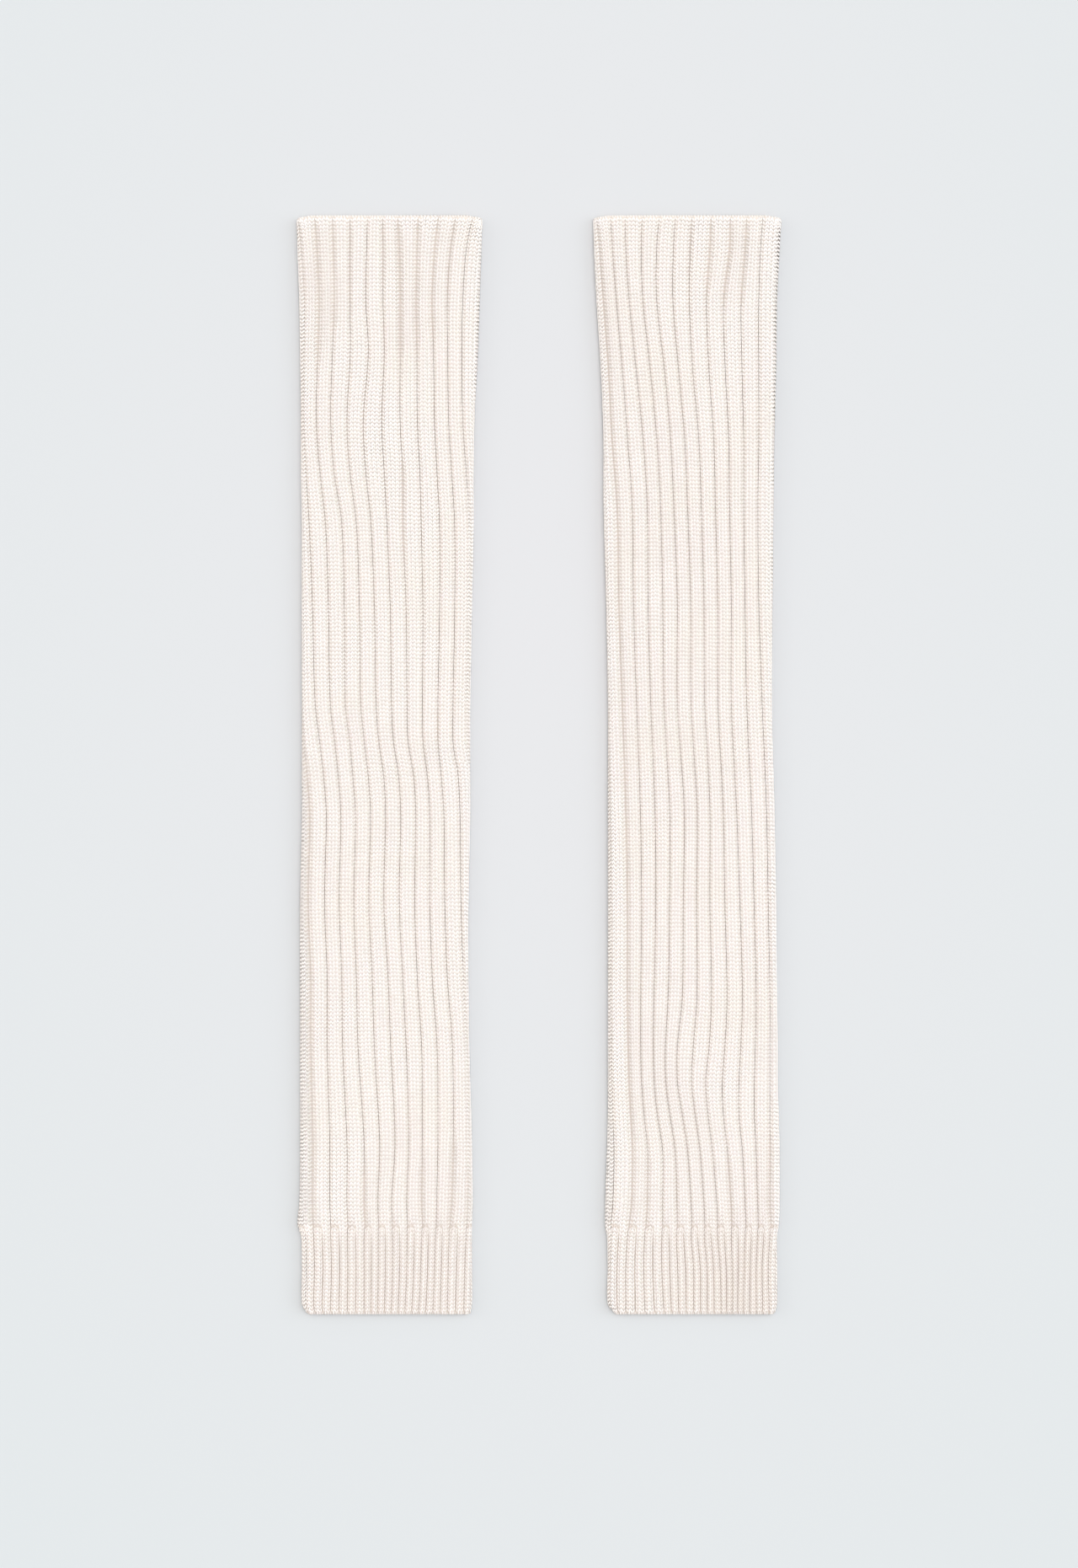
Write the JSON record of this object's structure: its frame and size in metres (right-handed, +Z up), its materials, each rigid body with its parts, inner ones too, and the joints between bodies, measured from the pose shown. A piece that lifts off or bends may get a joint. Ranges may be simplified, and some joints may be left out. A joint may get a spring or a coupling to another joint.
{
  "type": "pair of leg warmers",
  "caption": "Pair of long rib-knit leg warmers laid flat side by side: open tubes of off-white wool, wide opening at one end and a narrow-rib ankle cuff at the other.",
  "frame": {"origin": "middle of the pair, on the surface that both leg warmers lie on", "axes": "+Z up from the surface, +Y along both leg warmers towards their wide openings, +X from the left leg warmer to the right one"},
  "size_m": [0.2818, 0.64, 0.0077],
  "materials": {
    "wide_rib": "matt off-white wool, wide rib knit",
    "narrow_rib": "matt off-white wool, narrow rib knit",
    "plain_welt": "matt off-white wool, plain starting rows"
  },
  "bodies": {
    "root": {"left_leg": "wide_rib", "left_cuff": "narrow_rib", "left_top_welt": "plain_welt", "right_leg": "wide_rib", "right_cuff": "narrow_rib", "right_top_welt": "plain_welt"}
  },
  "joints": []
}
